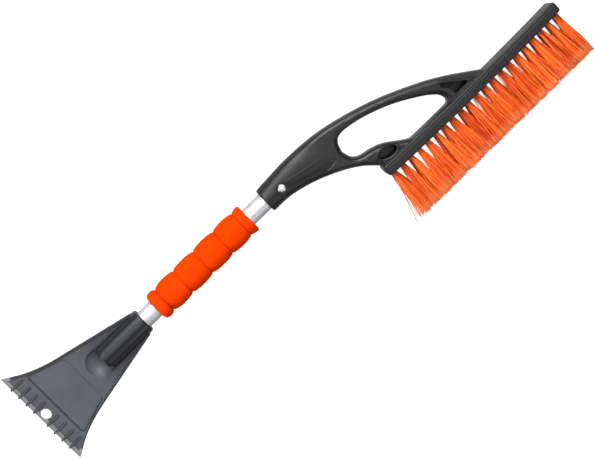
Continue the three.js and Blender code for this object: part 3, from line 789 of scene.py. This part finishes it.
class SNOWBRUSH_OT_head(bpy.types.Operator):
    """Brush head moulding: crowned handle, web, finger hole, pockets with lips, and the ribbed bar"""

    bl_idname = "snow_brush.head"
    bl_label = "Brush head"

    def execute(self, context):
        plastic = head_plastic(settings().colours.head)
        moulded_copy(
            "brush_head", "head_moulding", 10, 5, plastic, self.sculpt, self.paint, 0.3
        )
        return {"FINISHED"}

    def bar_back(self, along):
        share = np.clip((along - BAR_START) / BAR_LENGTH, 0, 1)
        return BAR_BACK - 4 * BAR_BOW * share * (1 - share)

    def oval_distance(self, points):
        x, y = points[:, 0] - OVAL_CENTRE[0], points[:, 1] - OVAL_CENTRE[1]
        cos, sin = math.cos(OVAL_TURN), math.sin(OVAL_TURN)
        x, y = x * cos + y * sin, y * cos - x * sin
        long, short = OVAL_HALVES
        level = np.sqrt((x / long) ** 2 + (y / short) ** 2) + 1e-6
        slope = np.sqrt((x / long**2) ** 2 + (y / short**2) ** 2) / level
        return (level - 1) / np.maximum(slope, 0.05)

    def past_step(self, points):
        """How far a point lies past the step where the crowned handle meets the web, negative before it."""
        path = [(341, -27), (347.5, -22.5), (358, -19.4), (364.5, -18), (368.5, -16), (371, -13)]
        distance = path_distance(points, path)
        line = np.interp(points[:, 1], [y for x, y in path], [x for x, y in path])
        return np.where(points[:, 0] > line, distance, -distance)

    def crown(self, points):
        """Gives the handle an evenly rounded section, from its mouth down to the step on the web."""
        along, across, up = points.T
        edges = np.arange(HEAD_MOUTH, 380, 1.0)
        widest = (np.abs(up) < 1.2) & (along < 380)
        which = np.clip((along[widest] - HEAD_MOUTH).astype(int), 0, len(edges) - 1)
        high = np.full(len(edges), -1e9)
        low = np.full(len(edges), 1e9)
        np.maximum.at(high, which, across[widest])
        np.minimum.at(low, which, across[widest])
        top = np.interp(along, edges + 0.5, high)
        bottom = np.interp(along, edges + 0.5, low)
        middle = (top + bottom) / 2
        half = np.maximum((top - bottom) / 2, 5)
        power = 2.05 + 0.95 * step_up(along, 296, 340)
        level = (np.abs(across - middle) / half) ** power + (np.abs(up) / HANDLE_HALF_DEPTH) ** power
        level = np.maximum(level, 1e-6) ** (1 / power)
        skin = (level > 0.96) & (np.hypot(across, up) > 10.9) & (along < 376)
        skin = skin & ((np.hypot(along - SCREW_ALONG, across - SCREW_ACROSS) > 5.4) | (up < 0))
        past = self.past_step(points)
        from_edge = np.minimum(across - bottom, top - across)
        width = 0.5 + 9 * (1 - step_up(from_edge, 1.5, 7)) + 24 * step_up(across, -15, -8)
        lower = 1 - step_up(past, -width / 2, width / 2)
        upper = 1 - step_up(along, 338, 373)
        share = step_up(across, -17, -9)
        amount = (lower * (1 - share) + upper * share) * step_up(along, 292.4, 295) * skin
        scale = 1 + (1 / level - 1) * amount
        points[:, 1] = middle + (across - middle) * scale
        points[:, 2] = up * scale

    def sculpt(self, points, normals):
        self.crown(points)
        top = (normals[:, 2] > 0.75) & (points[:, 2] > 9)
        up = np.zeros(len(points))
        rib = [(391.7, -42), (391.7, -62.5)]
        up += 0.45 * hump(path_distance(points, rib), 0.5)
        up += 0.12 * hump(path_distance(points, [(318, 0), (355, -7)]), 0.9)
        up += 0.4 * hump(self.oval_distance(points) - 1.1, 0.55)
        wedge = [(482, -33), (505, -49.8), (507, -51.5)]
        up += 0.4 * hump(path_distance(points, wedge) - 1.4, 0.55) * (points[:, 1] > -52.5)
        under_edge = self.bar_back(points[:, 0]) - 2.7 - points[:, 1]
        up -= 0.3 * hump(under_edge, 0.45) * (points[:, 0] > 391.5) * (points[:, 2] > 13.5)
        points[:, 2] += up * top

    def paint(self, points, normals):
        along, across, up = points.T
        # Painted shade: a dark line along the step where the crowned handle meets the web, a dark line under the
        # bar's back edge, and dark walls inside the oval and wedge pockets.
        step = hump(self.past_step(points), 0.6) * (across > -25) * (across < -12.5) * (normals[:, 2] > 0)
        deep = (np.abs(normals[:, 2]) > 0.5) & (np.abs(up) < 11)
        oval = (self.oval_distance(points) < 0.3) & (up < 9) & (up > -10)
        wedge = (along > 479) & (along < 508) & (across < -32) & (across > -52.2)
        wedge = wedge & (up < 9) & (up > -10) & deep
        under_edge = self.bar_back(points[:, 0]) - 2.7 - points[:, 1]
        line = hump(under_edge, 0.4) * (points[:, 2] > 14) * (points[:, 0] > 391.5)
        bar = step_up(self.bar_back(points[:, 0]) + 0.5 - points[:, 1], 0, 1)
        painted_shade = np.maximum(np.maximum(step * 0.9, line * 0.8), 0.75 * (oval | wedge))
        return {"painted_shade": painted_shade, "bar": bar}


class SNOWBRUSH_OT_screws(bpy.types.Operator):
    """Pan-head screws that pin the tube"""

    bl_idname = "snow_brush.screws"
    bl_label = "Screws"

    def execute(self, context):
        steel = steel_finish()
        for node in ("head_screw", "scraper_screw"):
            moulded_copy(node, f"{node}_turned", 6, 2, steel)
        return {"FINISHED"}


class SNOWBRUSH_OT_tufts(bpy.types.Operator):
    """Bristle tufts, each a bundle of separate filaments with split ends"""

    bl_idname = "snow_brush.tufts"
    bl_label = "Bristle tufts"

    def execute(self, context):
        chosen = settings()
        finish = bristle_finish(chosen.colours.bristle)
        for index, node in enumerate(TUFT_NAMES):
            draw = np.random.default_rng(100 + index)
            self.tuft(node, draw, chosen.sizes, finish)
        return {"FINISHED"}

    def tuft(self, node, draw, sizes, finish):
        low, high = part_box(node)
        centre = (low + high) / 2
        count = sizes.filaments
        root_radius = 2.6 * MM
        clump_count = 9
        along_bar = (centre.x - at(397).x) / (at(605.5).x - at(397).x)
        lean = 3.5 * MM * min(1.0, max(0.0, along_bar * 2.2 - 1.1))

        def disc(number, radius):
            angle = draw.uniform(0, 2 * np.pi, number)
            reach = np.sqrt(draw.uniform(0, 1, number)) * radius
            return np.stack([reach * np.cos(angle), reach * np.sin(angle)], 1)

        clump_roots = disc(clump_count, 0.8)
        clump_shift = draw.normal(0, 0.8 * MM, (clump_count, 2))
        clump_shade = draw.uniform(0, 1, clump_count)
        clump = draw.integers(0, clump_count, count)
        roots = clump_roots[clump] + disc(count, 0.45)
        roots /= np.maximum(1.0, np.linalg.norm(roots, axis=1))[:, None]
        stray = draw.uniform(0, 1, (count, 1)) < 0.2
        scatter = draw.normal(0, 1, (count, 2)) * np.where(stray, 3.2, 1.3) * MM
        spread = np.array([8.6, 5.6]) * MM
        tips = roots * spread + clump_shift[clump] + scatter
        tips[:, 0] += lean
        if node == "tuft_front_01":
            tips[:5, 0] = (-17.5, -16.9, -17.2, -11.4, -10.9) * np.array(MM)
        tips[:, 0] = np.clip(tips[:, 0], at(379).x - centre.x, at(608.8).x - centre.x)
        tips[:, 1] = np.clip(tips[:, 1], -9 * MM, 9 * MM)
        roots = roots * root_radius
        bow = draw.normal(0, 0.7 * MM, (count, 2)) + draw.normal(0, 0.6 * MM, (clump_count, 2))[clump]
        hidden = high.y - 0.3 * MM
        mouth = high.y - 6.2 * MM
        tip_level = low.y + draw.normal(0.2, 0.55, count) * MM
        level = np.r_[0, np.linspace(0.1, 1, 12)]
        t = np.clip((level - 0.1) / 0.9, 0, 1)
        swing = np.sin(np.pi * t) * t
        wave_phase = draw.uniform(0, 2 * np.pi, (count, 1))
        wave = 0.22 * MM * np.sin(t * 14 + wave_phase) * t
        x = centre.x + roots[:, :1] + (tips - roots)[:, :1] * t + bow[:, :1] * swing + wave
        z = centre.z + roots[:, 1:] + (tips - roots)[:, 1:] * t + bow[:, 1:] * swing
        y = np.where(level > 0, mouth + (tip_level[:, None] - mouth) * t, hidden)
        paths = np.stack([x, y, z], 2)
        # Painted light and shade: a random brightness for each filament, shared in part by its clump, which the
        # material turns into shade and highlight.
        shades = 0.35 * clump_shade[clump] + 0.65 * draw.uniform(0, 1, count)
        vertices, faces, own, along = tubes(paths, sizes.filament_width / 2, shades, t)
        piece = new_piece(f"bristles_{node[5:]}", vertices, faces, finish)
        for name, values in (("painted_light_and_shade", own), ("along", along)):
            attribute = piece.data.attributes.new(name, "FLOAT", "POINT")
            attribute.data.foreach_set("value", values)
        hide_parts(node)


def tubes(paths, radius, shades, t, sides=5):
    """Closed thin tubes along many paths that all run down -Y."""
    count, rings, _ = paths.shape
    turn = np.arange(sides) * 2 * np.pi / sides
    ring = np.stack([np.cos(turn), np.zeros(sides), np.sin(turn)], 1) * radius
    points = (paths[:, :, None, :] + ring).reshape(-1, 3)
    faces = []
    for k in range(count):
        start = k * rings * sides
        for r in range(rings - 1):
            a = start + r * sides
            for s in range(sides):
                n = (s + 1) % sides
                faces.append((a + s, a + n, a + sides + n, a + sides + s))
        faces.append(tuple(start + s for s in reversed(range(sides))))
        last = start + (rings - 1) * sides
        faces.append(tuple(last + s for s in range(sides)))
    own = np.repeat(shades, rings * sides).astype(np.float32)
    along = np.tile(np.repeat(t, sides), count).astype(np.float32)
    return points.tolist(), faces, own, along


class SNOWBRUSH_OT_anchors(bpy.types.Operator):
    """Small bent wires that hold the filaments at the bottom of each tuft hole"""

    bl_idname = "snow_brush.anchors"
    bl_label = "Tuft anchors"

    def execute(self, context):
        radius, half, steps = 0.35, 2.2, 6
        vertices, faces = [], []
        for node in TUFT_NAMES:
            low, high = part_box(node)
            middle = Vector(((low.x + high.x) / 2, high.y - 0.75 * MM, (low.z + high.z) / 2))
            first = len(vertices)
            for place in (-half, 0, half):
                dip = 0.25 * abs(place) / half
                for k in range(steps):
                    turn = 2 * math.pi * k / steps
                    offset = Vector((place, radius * math.cos(turn) - dip, radius * math.sin(turn)))
                    vertices.append(middle + offset * MM)
            for ring in range(2):
                here = first + ring * steps
                for k in range(steps):
                    n = (k + 1) % steps
                    faces.append((here + k, here + n, here + steps + n, here + steps + k))
            faces.append(tuple(first + k for k in reversed(range(steps))))
            faces.append(tuple(first + 2 * steps + k for k in range(steps)))
        new_piece("tuft_anchors", vertices, faces, steel_finish())
        return {"FINISHED"}


class SNOWBRUSH_PT_panel(bpy.types.Panel):
    """Sidebar panel that lists the pieces"""

    bl_idname = "SNOWBRUSH_PT_panel"
    bl_label = "Snow Brush"
    bl_space_type = "VIEW_3D"
    bl_region_type = "UI"
    bl_category = "Snow Brush"

    def draw(self, context):
        chosen = settings()
        for group in (chosen.sizes, chosen.colours):
            box = self.layout.box()
            for key in group.__annotations__:
                box.prop(group, key)
        for operator in OPERATORS:
            self.layout.operator(operator.bl_idname)


OPERATORS = (
    SNOWBRUSH_OT_stage,
    SNOWBRUSH_OT_scraper,
    SNOWBRUSH_OT_tube,
    SNOWBRUSH_OT_grip,
    SNOWBRUSH_OT_head,
    SNOWBRUSH_OT_screws,
    SNOWBRUSH_OT_tufts,
    SNOWBRUSH_OT_anchors,
)
CLASSES = (SnowBrushSizes, SnowBrushColours, SnowBrushSettings, *OPERATORS, SNOWBRUSH_PT_panel)


def register():
    for cls in CLASSES:
        bpy.utils.register_class(cls)
    bpy.types.Scene.snow_brush = PointerProperty(type=SnowBrushSettings)


def unregister():
    del bpy.types.Scene.snow_brush
    for cls in reversed(CLASSES):
        bpy.utils.unregister_class(cls)


def main():
    register()
    for operator in OPERATORS:
        group, name = operator.bl_idname.split(".")
        getattr(getattr(bpy.ops, group), name)()
    bpy.context.view_layer.update()


if __name__ == "__main__":
    main()
